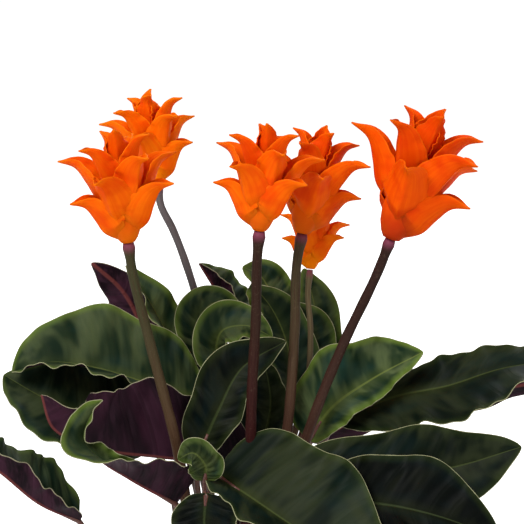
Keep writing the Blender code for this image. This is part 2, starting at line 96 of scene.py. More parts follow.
# Leaves: the blade, its waves and veins, its stalk, and the keel that carries the stalk on under the blade.
LEAF_THICKNESS = 0.0006
LEAF_TIP_POWER = 0.75
PLAIN_RIPPLE = 0.002
FINE_RIPPLE = 0.0010
FULL_RIPPLE_WIDTH = 0.026
UNEVEN_MARGIN = 0.045
# The tone of a leaf in shade: a painted shade, which darkens all of the leaf's colours.
SHADED_TONE = 0.12
VEINS = 11
QUILT = 0.00035
MIDRIB_RIDGE = 0.0008
MIDRIB_RIDGE_WIDTH = 0.0009
MIDRIB_GROOVE = 0.0003
MIDRIB_GROOVE_WIDTH = 0.0011
LEAF_STALK_RADIUS = 0.0019
LEAF_STALK_SIDES = 12
LEAF_STALK_STEPS = 22
KEEL_REACH = 0.16
KEEL_STEPS = 5
KEEL_START_RADIUS = 0.0015
KEEL_END_RADIUS = 0.0007

# Flower heads, whose bracts climb a core by the golden angle, and their stems.
BRACTS = 12
BRACT_THICKNESS = 0.0008
BRACT_TIP_POWER = 1.2
BRACT_FOLD = (25, 25)
BRACT_CURL = (45, 45)
BRACT_RIPPLE = 0.0006
BRACT_FINE_RIPPLE = 0.0005
BRACT_WAVES = 3
BRACT_WIDEST = 0.75
BRACT_REACH = (0.14, 0.42, 0.56, 0.73, 1.0)
BRACT_RISE = (0.0, 0.23, 0.55, 0.87, 1.0)
BRACT_KEEL = 0.0005
BRACT_KEEL_WIDTH = 0.0010
BRACT_RIB = 0.00008
BRACT_RIB_TURNS = 26
GOLDEN_ANGLE = 137.5
HEAD_HEIGHT = 0.058
CORE_SIDES = 24
CORE_HEIGHTS = (0.0, 0.0, 0.002, 0.006, 0.012, 0.018, 0.024, 0.030, 0.036, 0.040)
CORE_RADII = (0.0001, 0.0035, 0.0050, 0.0068, 0.0080, 0.0076, 0.0065, 0.0054, 0.0040, 0.0001)
FLOWER_STEM_RADIUS = 0.0027
FLOWER_STEM_SIDES = 20
FLOWER_STEM_STEPS = 70
COLLAR_LENGTH = 0.009
COLLAR_BELOW_HEAD = 0.0035
COLLAR_SWELL = 0.30
HEAD_GAP = 0.0005
STRAIGHT_BELOW_HEAD = 0.012

# Shares at which the rows and columns of a blade stand: along it, and out from its midrib to its margin.
LEAF_ALONG = np.linspace(0, 1, 85)
LEAF_OUT = np.concatenate([[0.0, 0.02, 0.045, 0.08], np.linspace(0.14, 0.97, 13), [1.0]])
BRACT_ALONG = np.linspace(0, 1, 27)
BRACT_OUT = np.concatenate([[0.0, 0.07], np.linspace(0.16, 0.96, 7), [1.0]])

# Where a blade's two faces and a leaf's stalk find their material in the piece's list.
UPPER_FACE = 0
LOWER_FACE = 1
STALK = 2

# A distance in millimetres to the margin and the midrib that no vein or margin colour reaches.
FAR_FROM_EDGES = 9.0
MILLIMETRES = 1000

# The camera looks along +Y, a little down on the plant.
CAMERA_PLACE = (0.0172226, -0.8803328, 0.4696931)
CAMERA_DOWN = 12.0
CAMERA_LENS = 112.4219
SENSOR_WIDTH = 36.0

# How strongly the surroundings and the floor light the plant, and how bright they are seen behind it.
SURROUNDINGS_LIGHTING = 0.27
SURROUNDINGS_SEEN = 1.05
FLOOR_LIGHTING = 0.10
FLOOR_SEEN = 0.80
FLOOR_REACH = 14.0
LIGHT_AIM = (0.02, 0.0, 0.25)


@dataclass
class Leaf:
    """One leaf: its stalk's root, the run of its midrib, and how its blade is turned, folded and waved.

    Places are (x, y, z) in metres; the root is (x, y) on the soil. The face is the way the green side looks.
    Each pair holds the left half's value and the right half's, seen from the green side with the tip ahead.
    The tone is how light the leaf is painted: partly a painted shade, down to 0 for a leaf in deep shade, and
    partly its own colour, up to 1 for a young, thin, yellow-green blade.
    """

    name: str
    root: tuple
    midrib: tuple
    face: tuple
    half_width: tuple
    fold: tuple = (15, 15)
    face_at_tip: tuple = None
    ripple: float = PLAIN_RIPPLE
    waves: float = 4
    widest: float = 0.85
    tone: float = SHADED_TONE
    curl: tuple = (0, 0)
    phase: tuple = (0, 120)
    tip_power: float = LEAF_TIP_POWER
    uneven: float = UNEVEN_MARGIN

    @property
    def fine(self):
        """How far the finest waves swing at the margin: less on a small leaf or a nearly flat one."""
        width = min(1.0, max(self.half_width) / FULL_RIPPLE_WIDTH)
        return FINE_RIPPLE * self.ripple / PLAIN_RIPPLE * width**2


@dataclass
class Bloom:
    """One flower head on its stem: its root, places the stem passes, and the head's axis, size and turn.

    The redness runs from 0, a yellowish orange, to 1, a deep red-orange with a painted shadow of dark
    red-brown at its foot. The stem has one colour at its foot and another at its top.
    """

    name: str
    root: tuple
    stem: tuple
    axis: tuple
    size: float
    turn: float
    redness: float
    stem_colours: tuple
    stem_radius: float = FLOWER_STEM_RADIUS


# Each leaf's tone is partly painted shade: leaves that sit in shade get low tones, which darken all their
# colours.
LEAVES = [
    Leaf("leaf_01", (-0.022, -0.005),
         ((-0.015, -0.004, 0.202), (-0.051, -0.008, 0.217), (-0.075, -0.010, 0.225), (-0.100, -0.010, 0.228),
          (-0.121, -0.008, 0.222)),
         (0.0, -0.85, 0.50), (0.022, 0.034), fold=(72, 10), waves=5, widest=1.0, tone=0.50),
    Leaf("leaf_02", (0.005, -0.015),
         ((0.010, -0.021, 0.174), (-0.040, -0.029, 0.180), (-0.076, -0.032, 0.187), (-0.096, -0.036, 0.199),
          (-0.102, -0.032, 0.216)),
         (0.0, 0.30, 0.95), (0.042, 0.030), fold=(64, 60), waves=5),
    Leaf("leaf_03", (-0.014, -0.036),
         ((-0.029, -0.048, 0.160), (-0.053, -0.058, 0.178), (-0.069, -0.062, 0.191), (-0.076, -0.062, 0.201),
          (-0.073, -0.060, 0.212), (-0.066, -0.058, 0.221)),
         (0.45, 0.35, 0.80), (0.026, 0.009), fold=(55, 60), face_at_tip=(-0.30, -0.80, 0.50), widest=0.55,
         tone=0.55),
    Leaf("leaf_04", (-0.031, -0.020),
         ((-0.083, -0.034, 0.145), (-0.102, -0.046, 0.159), (-0.122, -0.054, 0.180), (-0.145, -0.058, 0.199)),
         (0.0, -0.30, 1.0), (0.012, 0.030), fold=(50, 45), face_at_tip=(0.0, 0.60, 0.80), tone=0.30),
    Leaf("leaf_05", (-0.030, 0.002),
         ((-0.046, 0.006, 0.180), (-0.078, -0.002, 0.194), (-0.104, -0.005, 0.206), (-0.127, 0.000, 0.218)),
         (0.0, -0.50, 0.85), (0.032, 0.032), fold=(10, 20), tone=0.30),
    Leaf("leaf_06", (-0.016, 0.018),
         ((-0.037, 0.030, 0.204), (-0.051, 0.038, 0.234), (-0.064, 0.042, 0.257), (-0.081, 0.042, 0.273)),
         (-0.20, 0.90, 0.20), (0.014, 0.014), fold=(20, 20)),
    Leaf("leaf_07", (-0.013, 0.006),
         ((-0.015, 0.019, 0.197), (-0.034, 0.025, 0.229), (-0.046, 0.027, 0.252), (-0.060, 0.025, 0.275)),
         (0.40, -0.70, 0.40), (0.016, 0.015), fold=(50, 10), tone=0.72),
    Leaf("leaf_08", (-0.006, 0.002),
         ((-0.011, 0.009, 0.223), (-0.018, 0.010, 0.238), (-0.017, 0.008, 0.250), (-0.008, 0.004, 0.259),
          (0.005, 0.001, 0.257)),
         (0.0, -0.90, 0.40), (0.013, 0.011), tone=0.44),
    Leaf("leaf_09", (0.000, -0.006),
         ((-0.002, -0.006, 0.223), (-0.008, -0.008, 0.236), (-0.004, -0.012, 0.247), (0.008, -0.014, 0.250),
          (0.023, -0.016, 0.244)),
         (0.0, -0.80, 0.60), (0.014, 0.010), fold=(20, 15), tone=0.42),
    Leaf("leaf_10", (-0.002, 0.022),
         ((0.005, 0.024, 0.235), (-0.008, 0.032, 0.257), (-0.019, 0.036, 0.274)),
         (0.55, 0.25, 0.45), (0.009, 0.024), fold=(50, 50), ripple=0.001, tone=0.46),
    Leaf("leaf_11", (0.008, 0.025),
         ((0.029, 0.030, 0.233), (0.023, 0.036, 0.255), (0.015, 0.040, 0.267), (0.006, 0.040, 0.271)),
         (0.0, -0.80, 0.50), (0.014, 0.014), tone=0.56),
    Leaf("leaf_12", (0.010, 0.006),
         ((0.033, 0.006, 0.199), (0.032, 0.008, 0.230), (0.023, 0.010, 0.253), (0.012, 0.008, 0.268)),
         (0.30, -0.85, 0.30), (0.018, 0.016), fold=(30, 15), tone=0.34),
    Leaf("leaf_13", (0.018, 0.016),
         ((0.044, 0.026, 0.196), (0.048, 0.030, 0.227), (0.047, 0.032, 0.251), (0.041, 0.032, 0.272)),
         (0.20, -0.90, 0.30), (0.015, 0.015), tone=0.46),
    Leaf("leaf_14", (0.020, 0.008),
         ((0.039, 0.020, 0.198), (0.044, 0.020, 0.225), (0.043, 0.020, 0.242), (0.036, 0.020, 0.255)),
         (0.20, -0.90, 0.30), (0.014, 0.016), tone=0.40),
    Leaf("leaf_15", (-0.009, -0.022),
         ((-0.017, -0.039, 0.184), (-0.006, -0.036, 0.209), (0.006, -0.030, 0.230), (0.030, -0.028, 0.245)),
         (-0.20, -0.90, 0.30), (0.017, 0.012), fold=(15, 5), tone=0.03),
    Leaf("leaf_16", (0.009, -0.003),
         ((0.017, -0.010, 0.179), (0.022, -0.009, 0.204), (0.018, -0.009, 0.231)),
         (0.0, -0.95, 0.20), (0.012, 0.009)),
    Leaf("leaf_17", (0.034, -0.016),
         ((0.043, -0.018, 0.186), (0.055, -0.021, 0.205), (0.077, -0.025, 0.223), (0.104, -0.028, 0.239)),
         (-0.45, -0.88, 0.15), (0.026, 0.011), fold=(10, 0), waves=5, tone=0.70),
    Leaf("leaf_18", (0.040, -0.003),
         ((0.058, -0.010, 0.195), (0.092, -0.017, 0.211), (0.118, -0.025, 0.219), (0.145, -0.031, 0.230),
          (0.190, -0.040, 0.239)),
         (0.0, -0.85, 0.50), (0.017, 0.031), fold=(10, 15), face_at_tip=(0.0, -0.20, 0.95), waves=5,
         widest=1.25, tone=0.14),
    Leaf("leaf_19", (0.038, -0.026),
         ((0.036, -0.043, 0.181), (0.074, -0.053, 0.180), (0.113, -0.060, 0.184), (0.153, -0.063, 0.197)),
         (0.0, -0.90, 0.42), (0.0225, 0.022), fold=(8, 8), widest=1.1, tone=0.12),
    Leaf("leaf_20", (0.017, -0.034),
         ((0.050, -0.064, 0.167), (0.076, -0.074, 0.170), (0.109, -0.086, 0.167), (0.139, -0.092, 0.157)),
         (0.0, -0.80, 0.55), (0.027, 0.016), tone=0.00),
    Leaf("leaf_21", (-0.003, -0.034),
         ((-0.009, -0.042, 0.175), (0.010, -0.058, 0.168), (0.032, -0.076, 0.159), (0.060, -0.094, 0.147),
          (0.085, -0.104, 0.132)),
         (-0.30, -0.75, 0.60), (0.043, 0.024), fold=(5, 62), widest=0.75, tone=0.18),
    Leaf("leaf_22", (-0.005, -0.045),
         ((-0.012, -0.064, 0.172), (-0.013, -0.069, 0.156), (-0.007, -0.074, 0.131)),
         (-0.30, -0.90, 0.30), (0.022, 0.016), widest=0.8, tone=0.00),
    Leaf("leaf_23", (-0.018, -0.046),
         ((-0.013, -0.055, 0.176), (-0.013, -0.059, 0.186), (-0.019, -0.061, 0.193), (-0.027, -0.059, 0.189)),
         (0.0, -0.90, 0.40), (0.009, 0.009), ripple=0.001, tone=0.34),
    Leaf("leaf_24", (0.004, 0.014),
         ((0.015, 0.012, 0.169), (0.010, 0.016, 0.205), (0.004, 0.018, 0.243)),
         (0.0, -0.95, 0.20), (0.010, 0.014)),
    Leaf("leaf_25", (-0.012, 0.027),
         ((-0.030, 0.045, 0.190), (-0.045, 0.070, 0.205), (-0.060, 0.095, 0.205), (-0.072, 0.118, 0.192)),
         (0.0, 0.0, 1.0), (0.028, 0.028), fold=(20, 20)),
    Leaf("leaf_26", (0.002, 0.031),
         ((0.012, 0.048, 0.180), (0.014, 0.075, 0.196), (0.018, 0.100, 0.196), (0.022, 0.125, 0.180)),
         (0.0, 0.0, 1.0), (0.030, 0.030), fold=(20, 20)),
    Leaf("leaf_27", (0.021, 0.025),
         ((0.046, 0.040, 0.166), (0.085, 0.037, 0.186), (0.120, 0.030, 0.197), (0.155, 0.022, 0.204),
          (0.186, 0.014, 0.212)),
         (0.0, 0.95, 0.25), (0.014, 0.014), fold=(10, 10), widest=1.0),
]

BLOOMS = [
    Bloom("bloom_1", (-0.020, -0.024),
          ((-0.028, -0.046, 0.190), (-0.042, -0.048, 0.251), (-0.052, -0.050, 0.304)),
          (-0.10, -0.05, 1.0), 1.07, 200, 0.48,
          ((0.088, 0.040, 0.022), (0.036, 0.036, 0.014))),
    Bloom("bloom_2", (-0.004, 0.013),
          ((-0.011, 0.018, 0.222), (-0.021, 0.021, 0.262), (-0.033, 0.022, 0.297), (-0.041, 0.022, 0.323)),
          (-0.12, 0.0, 1.0), 0.93, 340, 0.00,
          ((0.15, 0.115, 0.118), (0.12, 0.106, 0.107)), stem_radius=0.0022),
    Bloom("bloom_3", (0.005, -0.024),
          ((0.011, -0.038, 0.192), (0.012, -0.045, 0.225), (0.014, -0.047, 0.262), (0.016, -0.050, 0.310)),
          (0.09, 0.0, 1.0), 1.0, 182, 0.60,
          ((0.040, 0.006, 0.007), (0.026, 0.013, 0.007))),
    Bloom("bloom_4", (0.013, -0.012),
          ((0.031, -0.024, 0.194), (0.035, -0.022, 0.250), (0.039, -0.016, 0.302)),
          (0.20, 0.05, 1.0), 1.05, 0, 0.66,
          ((0.080, 0.030, 0.020), (0.056, 0.043, 0.020))),
    Bloom("bloom_5", (0.024, -0.008),
          ((0.034, -0.008, 0.180), (0.042, -0.008, 0.212), (0.044, -0.004, 0.245), (0.044, 0.008, 0.277)),
          (0.10, 0.15, 1.0), 0.68, 190, 0.02,
          ((0.090, 0.046, 0.028), (0.14, 0.112, 0.056)), stem_radius=0.0016),
    Bloom("bloom_6", (0.023, -0.022),
          ((0.041, -0.030, 0.190), (0.059, -0.034, 0.241), (0.085, -0.036, 0.303)),
          (0.35, 0.0, 1.0), 1.3, 340, 1.00,
          ((0.056, 0.024, 0.015), (0.022, 0.009, 0.007))),
]


def unit(vectors):
    return vectors / np.linalg.norm(vectors, axis=-1, keepdims=True)


def smooth_path(points, share):
    """Places on a smooth curve through the points, at each share (0 to 1) of the way along."""
    points = np.array(points, float)
    knots = np.concatenate([[0.0], np.cumsum(np.linalg.norm(np.diff(points, axis=0), axis=1))])
    slopes = np.gradient(points, knots, axis=0)
    reach = np.clip(np.asarray(share, float), 0, 1) * knots[-1]
    span = np.clip(np.searchsorted(knots, reach, side="right") - 1, 0, len(knots) - 2)
    width = knots[span + 1] - knots[span]
    along = ((reach - knots[span]) / width)[..., None]
    step = width[..., None]
    start, end = points[span], points[span + 1]
    leave, arrive = slopes[span] * step, slopes[span + 1] * step
    return (
        (2 * along**3 - 3 * along**2 + 1) * start
        + (along**3 - 2 * along**2 + along) * leave
        + (3 * along**2 - 2 * along**3) * end
        + (along**3 - along**2) * arrive
    )


def path_and_heading(points, share):
    """Places along the curve and the way it heads at each."""
    nudge = 0.002
    ahead = smooth_path(points, np.clip(share + nudge, 0, 1))
    behind = smooth_path(points, np.clip(share - nudge, 0, 1))
    return smooth_path(points, share), unit(ahead - behind)


def half_width_at(share, widest, tip_power, base=0.0014, tip=0.0006):
    """A round outline with a drawn-out tip, as a share of the half width, and the least it comes to."""
    round_part = np.sin(math.pi * np.clip(share, 0, 1) ** widest)
    power = 0.50 * (1 - share) + tip_power * share
    return np.clip(round_part, 0, 1) ** power, base * (1 - share) + tip * share


def blade_places(blade, along, out):
    """A blade's middle surface: places, metres from the midrib, both shares, and the width to the margin."""
    across = np.concatenate([-out[:0:-1], out])[None, :]
    out = np.abs(across)
    along = along[:, None]
    # Rows sweep on towards the tip as they run out to the margin.
    share = along**1.25 + (along**0.85 - along**1.25) * out**1.3
    place, heading = path_and_heading(blade.midrib, share)
    face = np.array(blade.face, float)
    face_at_tip = np.array(blade.face_at_tip or blade.face, float)
    facing = face * (1 - share[..., None]) + face_at_tip * share[..., None]
    facing = unit(facing - heading * np.sum(facing * heading, axis=-1, keepdims=True))
    leftward = np.cross(facing, heading)

    def sided(pair):
        return np.where(across > 0, pair[1], pair[0])

    outline, least = half_width_at(share, blade.widest, blade.tip_power)
    turned = np.radians(sided(blade.phase))
    uneven = np.sin(2 * math.pi * blade.waves * 0.55 * share + 1.7 * turned)
    uneven = uneven + 0.5 * np.sin(13.0 * share * blade.waves / 4 - turned)
    reach = sided(blade.half_width) * outline * (1 + blade.uneven * uneven) + least
    start = np.radians(sided(blade.fold))
    bend = np.radians(sided(blade.curl)) + 1e-6
    sideways = (np.sin(start + bend * out) - np.sin(start)) / bend
    upward = (np.cos(start) - np.cos(start + bend * out)) / bend
    fade = np.sin(math.pi * np.clip(share, 0, 1)) ** 0.5
    wave = blade.ripple * out**1.5 * fade * np.sin(2 * math.pi * blade.waves * share + turned)
    wave = wave + blade.fine * out**3 * fade * np.sin(2 * math.pi * blade.waves * 2.3 * share + 2.1 * turned)
    side_angle = start + bend * out
    side = np.sign(across)[..., None] * -leftward
    normal = facing * np.cos(side_angle)[..., None] - side * np.sin(side_angle)[..., None]
    grid = (
        place
        + side * (reach * sideways)[..., None]
        + facing * (reach * upward)[..., None]
        + normal * wave[..., None]
    )
    return grid, reach * out, np.broadcast_to(across, share.shape), np.broadcast_to(along, share.shape), reach


def carried(*values):
    """The three values that each place carries for its materials, from single numbers and whole grids."""
    return np.stack(np.broadcast_arrays(*values), axis=-1)


def surface_normals(grid):
    lengthwise = np.gradient(grid, axis=0)
    crosswise = np.gradient(grid, axis=1)
    return unit(np.cross(crosswise, lengthwise))


class Shape:
    """Gathers faces and places, each with its plan (across, along, seed) and span (mm in, mm out, tone)."""

    def __init__(self):
        self.places = []
        self.plan = []
        self.span = []
        self.faces = []
        self.kinds = []
        self.count = 0

    def add_places(self, places, plan, span):
        first = self.count
        self.places.append(places.reshape(-1, 3))
        self.plan.append(plan.reshape(-1, 3))
        self.span.append(span.reshape(-1, 3))
        self.count += len(self.places[-1])
        return first

    def add_faces(self, faces, kind):
        self.faces.append(np.asarray(faces, int))
        self.kinds.append(np.full(len(faces), kind, int))

    def build(self, name, materials, box):
        """A mesh object from what was gathered, kept inside the box."""
        places = np.clip(np.concatenate(self.places), box[0], box[1])
        faces = np.concatenate(self.faces)
        mesh = bpy.data.meshes.new(name)
        mesh.vertices.add(len(places))
        mesh.vertices.foreach_set("co", places.astype(np.float32).ravel())
        mesh.loops.add(faces.size)
        mesh.loops.foreach_set("vertex_index", faces.ravel())
        mesh.polygons.add(len(faces))
        mesh.polygons.foreach_set("loop_start", np.arange(0, faces.size, 4))
        for material in materials:
            mesh.materials.append(material)
        mesh.polygons.foreach_set("material_index", np.concatenate(self.kinds))
        mesh.polygons.foreach_set("use_smooth", np.ones(len(faces), bool))
        for label, values in (("plan", self.plan), ("span", self.span)):
            attribute = mesh.attributes.new(label, "FLOAT_VECTOR", "POINT")
            attribute.data.foreach_set("vector", np.concatenate(values).astype(np.float32).ravel())
        mesh.update(calc_edges=True)
        mesh.validate()
        thing = bpy.data.objects.new(name, mesh)
        bpy.context.scene.collection.objects.link(thing)
        return thing


def grid_faces(first, rows, columns, flip=False, wrap=False):
    """Four-cornered faces between the rows and columns of a grid whose first place has the given number."""
    row = np.arange(rows - 1)[:, None]
    column = np.arange(columns if wrap else columns - 1)[None, :]
    after = (column + 1) % columns
    a = row * columns + column
    b = row * columns + after
    c = (row + 1) * columns + after
    d = (row + 1) * columns + column
    corners = (d, c, b, a) if flip else (a, b, c, d)
    return first + np.stack([corner.reshape(-1) for corner in corners], axis=1)


def add_sheet(shape, grid, upper_lift, lower_lift, plan, span):
    """A closed sheet about the grid: the upper face, the lower face and a rim between their borders."""
    rows, columns = grid.shape[:2]
    normals = surface_normals(grid)
    upper = shape.add_places(grid + normals * upper_lift[..., None], plan, span)
    lower = shape.add_places(grid - normals * lower_lift[..., None], plan, span)
    shape.add_faces(grid_faces(upper, rows, columns), UPPER_FACE)
    shape.add_faces(grid_faces(lower, rows, columns, flip=True), LOWER_FACE)
    border = list(range(columns))
    border += [row * columns + columns - 1 for row in range(1, rows)]
    border += [(rows - 1) * columns + column for column in range(columns - 2, -1, -1)]
    border += [row * columns for row in range(rows - 2, 0, -1)]
    here = np.array(border)
    there = np.roll(here, -1)
    rim = np.stack([upper + there, upper + here, lower + here, lower + there], axis=1)
    shape.add_faces(rim, UPPER_FACE)


def add_tube(shape, places, radii, sides, kind, seed, tone):
    """A round tube through the places, with its ends drawn in to a point."""
    places = np.array(places, float)
    radii = np.array(radii, float)
    heading = unit(np.gradient(places, axis=0))
    aside = unit(np.cross(heading, np.array([0.31, 0.87, 0.12])))
    over = np.cross(heading, aside)
    turn = np.linspace(0, 2 * math.pi, sides, endpoint=False)
    ring = aside[:, None] * np.cos(turn)[None, :, None] + over[:, None] * np.sin(turn)[None, :, None]
    grid = places[:, None] + ring * radii[:, None, None]
    grid = np.concatenate([places[:1, None] + ring[:1] * 1e-5, grid, places[-1:, None] + ring[-1:] * 1e-5])
    climb = np.linspace(0, 1, len(grid))[:, None] * np.ones(sides)
    span = carried(FAR_FROM_EDGES, FAR_FROM_EDGES, np.full(climb.shape, tone))
    first = shape.add_places(grid, carried(np.cos(turn), climb, seed), span)
    shape.add_faces(grid_faces(first, len(grid), sides, wrap=True), kind)


def stalk_path(root, reach_up, foot, heading, steps):
    """Places from below the soil, straight up out of it, then over to the foot along its heading."""
    x, y = root
    out_of_soil = np.array([x, y, SOIL_TOP + STALK_CLEAR])
    foot = np.array(foot, float)
    span = np.linalg.norm(foot - out_of_soil)
    lift = out_of_soil + np.array([0, 0, span * reach_up])
    arriving = unit(np.array(heading) + np.array([0, 0, 1.2]))
    approach = foot - arriving * span * 0.3
    t = np.linspace(0, 1, steps + 1)[:, None]
    bend = (
        (1 - t) ** 3 * out_of_soil
        + 3 * (1 - t) ** 2 * t * lift
        + 3 * (1 - t) * t**2 * approach
        + t**3 * foot
    )
    return np.concatenate([[[x, y, SOIL_TOP - STALK_BURIED]], bend])


def add_leaf_stalk(shape, leaf, seed):
    """The stalk from below the soil to the blade's foot, and on under the midrib as a keel."""
    keel, heading = path_and_heading(leaf.midrib, np.linspace(0.0, KEEL_REACH, KEEL_STEPS + 1))
    path = stalk_path(leaf.root, 0.4, keel[0], heading[0], LEAF_STALK_STEPS)
    path = np.concatenate([path, keel[1:]])
    radii = np.linspace(1.0, 0.8, len(path)) * LEAF_STALK_RADIUS
    radii[-KEEL_STEPS:] = np.linspace(KEEL_START_RADIUS, KEEL_END_RADIUS, KEEL_STEPS)
    add_tube(shape, path, radii, LEAF_STALK_SIDES, STALK, seed, leaf.tone)


def build_leaf(leaf, number, materials, box):
    """A leaf: the blade with its quilted veins, grooved midrib and waved margin, over its stalk and keel."""
    shape = Shape()
    grid, inward, across, along, reach = blade_places(leaf, LEAF_ALONG, LEAF_OUT)
    off = np.abs(across)
    wide = reach / max(leaf.half_width)
    quilt = QUILT * np.sin(2 * math.pi * VEINS * along) * 4 * off * (1 - off) * np.clip(wide, 0, 1)
    taper = np.clip(1 - along, 0, 1) ** 0.7
    groove = MIDRIB_GROOVE * taper * np.exp(-((inward / MIDRIB_GROOVE_WIDTH) ** 2))
    ridge = MIDRIB_RIDGE * taper * np.exp(-((inward / MIDRIB_RIDGE_WIDTH) ** 2))
    half = LEAF_THICKNESS / 2 * (1 - 0.4 * off**4)
    seed = number * 7.31
    span = carried(inward * MILLIMETRES, (reach - inward) * MILLIMETRES, leaf.tone)
    add_sheet(shape, grid, half + quilt - groove, half - quilt + ridge, carried(across, along, seed), span)
    add_leaf_stalk(shape, leaf, seed)
    piece = shape.build(leaf.name + "_blade", materials, box)
    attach(piece, "root")
    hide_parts(leaf.name)


def head_frame(bloom):
    """The head's foot and its three axes: across, away and up its stem."""
    up = unit(np.array(bloom.axis, float))
    across = unit(np.cross(np.array([0.0, 1.0, 0.0]), up))
    return np.array(bloom.stem[-1], float), np.stack([across, np.cross(up, across), up])


def add_core(shape, bloom, foot, axes, seed):
    """The core that the bracts are sunk into, swelling from the stem and closing at the top."""
    heights = np.array(CORE_HEIGHTS)[:, None]
    radii = np.array(CORE_RADII)[:, None]
    turn = np.linspace(0, 2 * math.pi, CORE_SIDES, endpoint=False)
    level = heights * np.ones(CORE_SIDES)
    grid = np.stack([radii * np.cos(turn), radii * np.sin(turn), level], axis=-1)
    grid = foot + (grid * bloom.size) @ axes
    climb = level / HEAD_HEIGHT
    span = carried(FAR_FROM_EDGES, FAR_FROM_EDGES, climb)
    first = shape.add_places(grid, carried(0.0, climb, seed), span)
    shape.add_faces(grid_faces(first, len(heights), CORE_SIDES, wrap=True), LOWER_FACE)


def bract_blade(bloom, place, foot, axes):
    """The blade of the head's given bract, counted from the foot of the core, described as a leaf's is."""
    climb = place / (BRACTS - 1)
    angle = math.radians(bloom.turn + GOLDEN_ANGLE * place)
    low = 0.002 + 0.032 * climb
    high = 0.023 + 0.033 * climb**0.75
    spread = 0.005 + 0.021 * (1 - climb) + 0.014 * math.sin(math.pi * climb)
    outward = np.array([math.cos(angle), math.sin(angle), 0.0])
    upward = np.array([0.0, 0.0, 1.0])
    midrib = (
        spread * np.array(BRACT_REACH)[:, None] * outward
        + (low + (high - low) * np.array(BRACT_RISE))[:, None] * upward
    )
    return SimpleNamespace(
        midrib=foot + (midrib * bloom.size) @ axes, face=(-0.6 * outward + 0.8 * upward) @ axes,
        face_at_tip=None, half_width=(0.0145 * (1 - 0.40 * climb) * bloom.size,) * 2, fold=BRACT_FOLD,
        curl=BRACT_CURL,
        ripple=BRACT_RIPPLE, waves=BRACT_WAVES, phase=(place * 70, place * 110), widest=BRACT_WIDEST,
        tip_power=BRACT_TIP_POWER, fine=BRACT_FINE_RIPPLE, uneven=0.0,
    )


def build_head(bloom, number, materials, box):
    """A flower head: a core and the cupped, ribbed bracts that climb round it."""
    shape = Shape()
    foot, axes = head_frame(bloom)
    seed = number * 3.7
    add_core(shape, bloom, foot, axes, seed)
    for place in range(BRACTS):
        blade = bract_blade(bloom, place, foot, axes)
        grid, inward, across, along, reach = blade_places(blade, BRACT_ALONG, BRACT_OUT)
        keel = BRACT_KEEL * np.exp(-((inward / BRACT_KEEL_WIDTH) ** 2)) * np.clip(1 - along, 0, 1)
        rib = BRACT_RIB * np.sin(across * BRACT_RIB_TURNS)
        half = BRACT_THICKNESS / 2 * (1 - 0.6 * np.abs(across) ** 3)
        plan = carried(across, along, seed + place * 1.3)
        span = carried(inward * MILLIMETRES, (reach - inward) * MILLIMETRES, place / (BRACTS - 1))
        add_sheet(shape, grid, half + rib - keel * 0.5, half - rib + keel, plan, span)
    piece = shape.build(bloom.name + "_bracts", materials, box)
    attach(piece, "root")
    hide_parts(bloom.name)


def build_stem(bloom, number, material, box):
    """The bare stem of a flower head, with the swollen collar just under the head."""
    top = np.array(bloom.stem[-1], float)
    up = unit(np.array(bloom.axis, float))
    soil_exit = (*bloom.root, SOIL_TOP + STALK_CLEAR)
    share = np.linspace(0, 1, FLOWER_STEM_STEPS + 1)
    into_head = [top - up * STRAIGHT_BELOW_HEAD, top - up * HEAD_GAP]
    path = smooth_path([soil_exit, *bloom.stem[:-1], *into_head], share)
    path = np.concatenate([[(*bloom.root, SOIL_TOP - STALK_BURIED)], path])
    below_head = np.linalg.norm(path - path[-1], axis=1)
    collar = np.exp(-((below_head - COLLAR_BELOW_HEAD) / (COLLAR_LENGTH / 3)) ** 2)
    wobble = 0.03 * np.sin(np.arange(len(path)) * 0.9 + number)
    radii = bloom.stem_radius * (np.linspace(1.15, 0.95, len(path)) + wobble + COLLAR_SWELL * collar)
    shape = Shape()
    add_tube(shape, path, radii, FLOWER_STEM_SIDES, 0, number * 5.1, 0.0)
    piece = shape.build(bloom.name + "_stalk", [material], box)
    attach(piece, "root")
    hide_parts(bloom.name + "_stem")


def turned_object(name, outline, steps, material):
    """A solid turned about the z axis from (radius, height) places, where radius 0 closes an end."""
    places, rings = [], []
    for radius, height in outline:
        if radius == 0:
            rings.append([len(places)])
            places.append((0.0, 0.0, height))
            continue
        rings.append(list(range(len(places), len(places) + steps)))
        for step in range(steps):
            angle = 2 * math.pi * step / steps
            places.append((radius * math.cos(angle), radius * math.sin(angle), height))
    faces = []
    for above, below in zip(rings, rings[1:]):
        for step in range(steps):
            after = (step + 1) % steps
            if len(above) == 1:
                faces.append((above[0], below[step], below[after]))
            elif len(below) == 1:
                faces.append((above[step], below[0], above[after]))
            else:
                faces.append((above[step], below[step], below[after], above[after]))
    mesh = bpy.data.meshes.new(name)
    mesh.from_pydata(places, [], faces)
    mesh.materials.append(material)
    mesh.update()
    thing = bpy.data.objects.new(name, mesh)
    bpy.context.scene.collection.objects.link(thing)
    return thing


